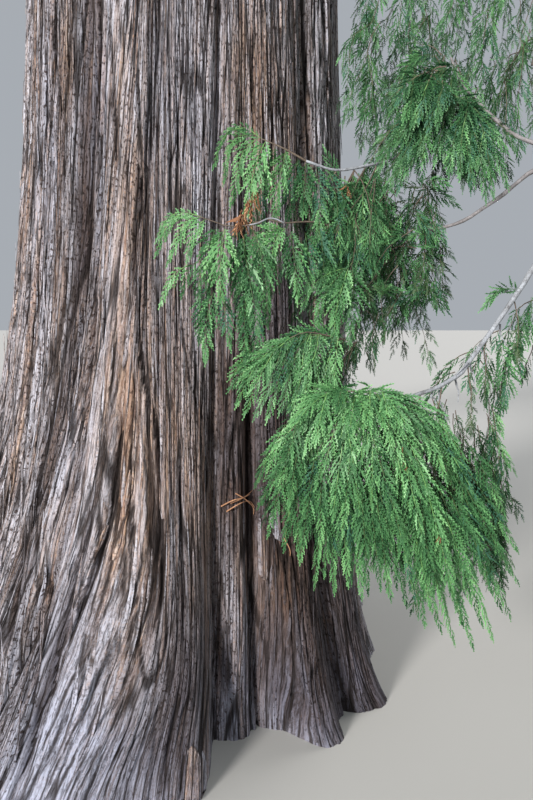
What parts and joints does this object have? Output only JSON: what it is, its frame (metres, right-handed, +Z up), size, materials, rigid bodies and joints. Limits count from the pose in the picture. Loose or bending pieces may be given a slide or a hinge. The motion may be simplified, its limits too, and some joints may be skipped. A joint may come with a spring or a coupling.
{
  "type": "cedar tree",
  "caption": "Tall mature red cedar with a fluted, flared trunk, a narrow cone of weeping foliage and low boughs that sweep down on one side.",
  "frame": {"origin": "on the flat cut at ground level, under the middle of the trunk", "axes": "+Z up the trunk, +X towards the low hanging boughs, -Y towards the open side of the trunk, which the picture shows"},
  "size_m": [8.5691, 8.4175, 27.9498],
  "materials": {
    "bark": "fibrous, furrowed, grey over red-brown",
    "limb_bark": "silver-grey, fairly smooth",
    "foliage": "matt scale leaves in flat sprays, mid green with yellow-green tips",
    "foliage_shade": "the same, darker"
  },
  "bodies": {
    "root": {"trunk": "bark", "bough_low_main": "limb_bark", "bough_low_a": "limb_bark", "bough_low_b": "limb_bark", "bough_low_c": "limb_bark", "bough_low_d": "limb_bark", "bough_low_upper": "limb_bark", "bough_low_rear": "limb_bark", "bough_shelf1_1": "limb_bark", "bough_shelf1_2": "limb_bark", "bough_shelf1_3": "limb_bark", "bough_shelf1_4": "limb_bark", "bough_shelf1_5": "limb_bark", "bough_shelf1_6": "limb_bark", "bough_shelf1_7": "limb_bark", "foliage_shelf1_1": "foliage", "foliage_shelf1_2": "foliage_shade", "foliage_shelf1_3": "foliage", "foliage_shelf1_4": "foliage_shade", "foliage_shelf1_5": "foliage", "foliage_shelf1_6": "foliage_shade", "foliage_shelf1_7": "foliage", "foliage_shelf2_1": "foliage", "foliage_shelf2_2": "foliage_shade", "foliage_shelf2_3": "foliage", "foliage_shelf2_4": "foliage_shade", "foliage_shelf2_5": "foliage", "foliage_shelf2_6": "foliage_shade", "foliage_shelf3_1": "foliage", "foliage_shelf3_2": "foliage_shade", "foliage_shelf3_3": "foliage", "foliage_shelf3_4": "foliage_shade", "foliage_shelf3_5": "foliage", "foliage_shelf4_1": "foliage", "foliage_shelf4_2": "foliage_shade", "foliage_shelf4_3": "foliage", "foliage_shelf4_4": "foliage_shade", "foliage_shelf5_1": "foliage", "foliage_shelf5_2": "foliage_shade", "foliage_shelf5_3": "foliage", "foliage_shelf6_1": "foliage", "foliage_shelf6_2": "foliage_shade", "foliage_shelf6_3": "foliage", "foliage_shelf7_1": "foliage", "foliage_shelf7_2": "foliage_shade", "foliage_low_plume": "foliage", "foliage_low_plume_tail": "foliage", "foliage_low_fan": "foliage", "foliage_low_crest": "foliage", "foliage_low_left": "foliage", "foliage_low_tip": "foliage", "foliage_low_centre": "foliage", "foliage_low_dark": "foliage", "foliage_low_upper": "foliage", "foliage_low_edge": "foliage", "foliage_low_skirt": "foliage", "foliage_low_rim": "foliage", "foliage_low_outer": "foliage", "foliage_low_rear": "foliage"}
  },
  "joints": []
}
